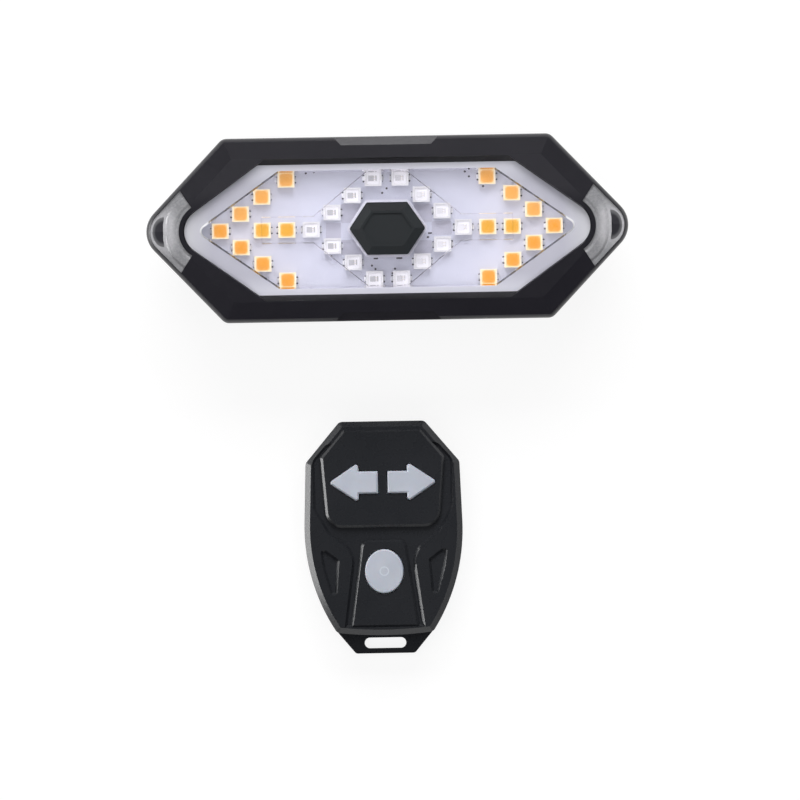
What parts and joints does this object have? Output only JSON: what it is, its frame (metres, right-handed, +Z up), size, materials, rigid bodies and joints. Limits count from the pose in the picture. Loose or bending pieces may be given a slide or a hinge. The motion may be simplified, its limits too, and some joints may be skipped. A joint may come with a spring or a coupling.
{
  "type": "bike warning light",
  "caption": "Long hexagonal clip-on rear light with arrow-shaped lamp fields, a centre button and a seat-post saddle, with its shield-shaped handlebar remote lying below it.",
  "frame": {"origin": "on the table, under the middle of the light and its remote as they lie on their backs", "axes": "+X to the right along the light, +Y from the remote towards the light, +Z up out of the lens"},
  "size_m": [0.0964, 0.1034, 0.0262],
  "materials": {
    "housing_black": "fine-grained black moulded plastic",
    "lens_clear": "clear polished polycarbonate",
    "window_frosted": "smoky translucent polycarbonate",
    "button_black": "satin black key cap",
    "board_white": "white solder mask on glass-fibre board",
    "led_cream": "cream moulded lamp case",
    "led_white": "white moulded lamp case",
    "phosphor_amber": "amber resin",
    "chip_grey": "bare chip",
    "chip_black": "black epoxy",
    "board_green": "green solder mask",
    "contact_steel": "nickel-plated steel",
    "battery_foil": "aluminium laminate pouch",
    "foam_white": "double-sided foam",
    "wire_red": "wire insulation",
    "seal_rubber": "soft rubber",
    "pad_rubber": "ribbed black rubber",
    "screw_steel": "plated steel screw",
    "remote_black": "semi-gloss black moulded plastic",
    "key_silicone": "pale grey translucent silicone",
    "holder_black": "black moulded plastic"
  },
  "bodies": {
    "light": {"front_bezel": "housing_black", "front_lens": "lens_clear", "end_window_left": "window_frosted", "end_window_right": "window_frosted", "main_switch": "contact_steel", "led_board": "board_white", "amber_led_cases_left": "led_cream", "amber_led_cases_right": "led_cream", "amber_phosphors_left": "phosphor_amber", "amber_phosphors_right": "phosphor_amber", "red_led_cases": "led_white", "red_led_chips": "chip_grey", "board_resistors": "chip_black", "driver_chip": "chip_black", "radio_receiver": "board_green", "charging_socket": "contact_steel", "battery": "battery_foil", "battery_tape": "foam_white", "battery_leads": "wire_red", "housing_seal": "seal_rubber", "rear_shell": "housing_black", "housing_screws": "screw_steel", "saddle_bracket": "housing_black", "saddle_pad": "pad_rubber", "saddle_screws": "screw_steel"},
    "main_button": {"main_button": "button_black", "switch_plunger": "chip_black"},
    "port_cover": {"port_cover": "pad_rubber"},
    "remote": {"remote_upper_shell": "remote_black", "remote_lower_shell": "remote_black", "remote_seal": "seal_rubber", "key_domes": "contact_steel", "remote_board": "board_green", "remote_chip": "chip_black", "coin_cell": "contact_steel", "cell_holder": "holder_black", "cell_contact": "contact_steel", "remote_screws": "screw_steel"},
    "left_arrow_key": {"left_arrow_key": "key_silicone"},
    "right_arrow_key": {"right_arrow_key": "key_silicone"},
    "round_key": {"round_key": "key_silicone"},
    "battery_door": {"battery_door": "remote_black", "door_seal": "seal_rubber"}
  },
  "joints": [
    {"name": "main_button_press", "type": "slide", "parent": "light", "child": "main_button", "axis": [0, 0, -1], "range_m": [0, 0.0005], "stiffness_N_per_m": 800},
    {"name": "port_cover_hinge", "type": "hinge", "parent": "light", "child": "port_cover", "pos_m": [-0.0066, 0.01555, 0.01778], "axis": [0, 0, -1], "range_deg": [0, 100]},
    {"name": "remote_lift", "type": "slide", "parent": "light", "child": "remote", "axis": [0, 0, 1], "range_m": [0, 0.06]},
    {"name": "left_arrow_press", "type": "slide", "parent": "remote", "child": "left_arrow_key", "axis": [0, 0, -1], "range_m": [0, 0.0003], "stiffness_N_per_m": 600},
    {"name": "right_arrow_press", "type": "slide", "parent": "remote", "child": "right_arrow_key", "axis": [0, 0, -1], "range_m": [0, 0.0003], "stiffness_N_per_m": 600},
    {"name": "round_key_press", "type": "slide", "parent": "remote", "child": "round_key", "axis": [0, 0, -1], "range_m": [0, 0.0003], "stiffness_N_per_m": 600},
    {"name": "battery_door_turn", "type": "hinge", "parent": "remote", "child": "battery_door", "pos_m": [-0.0018, -0.0274, 0.001], "axis": [0, 0, 1], "range_deg": [0, 60]}
  ]
}
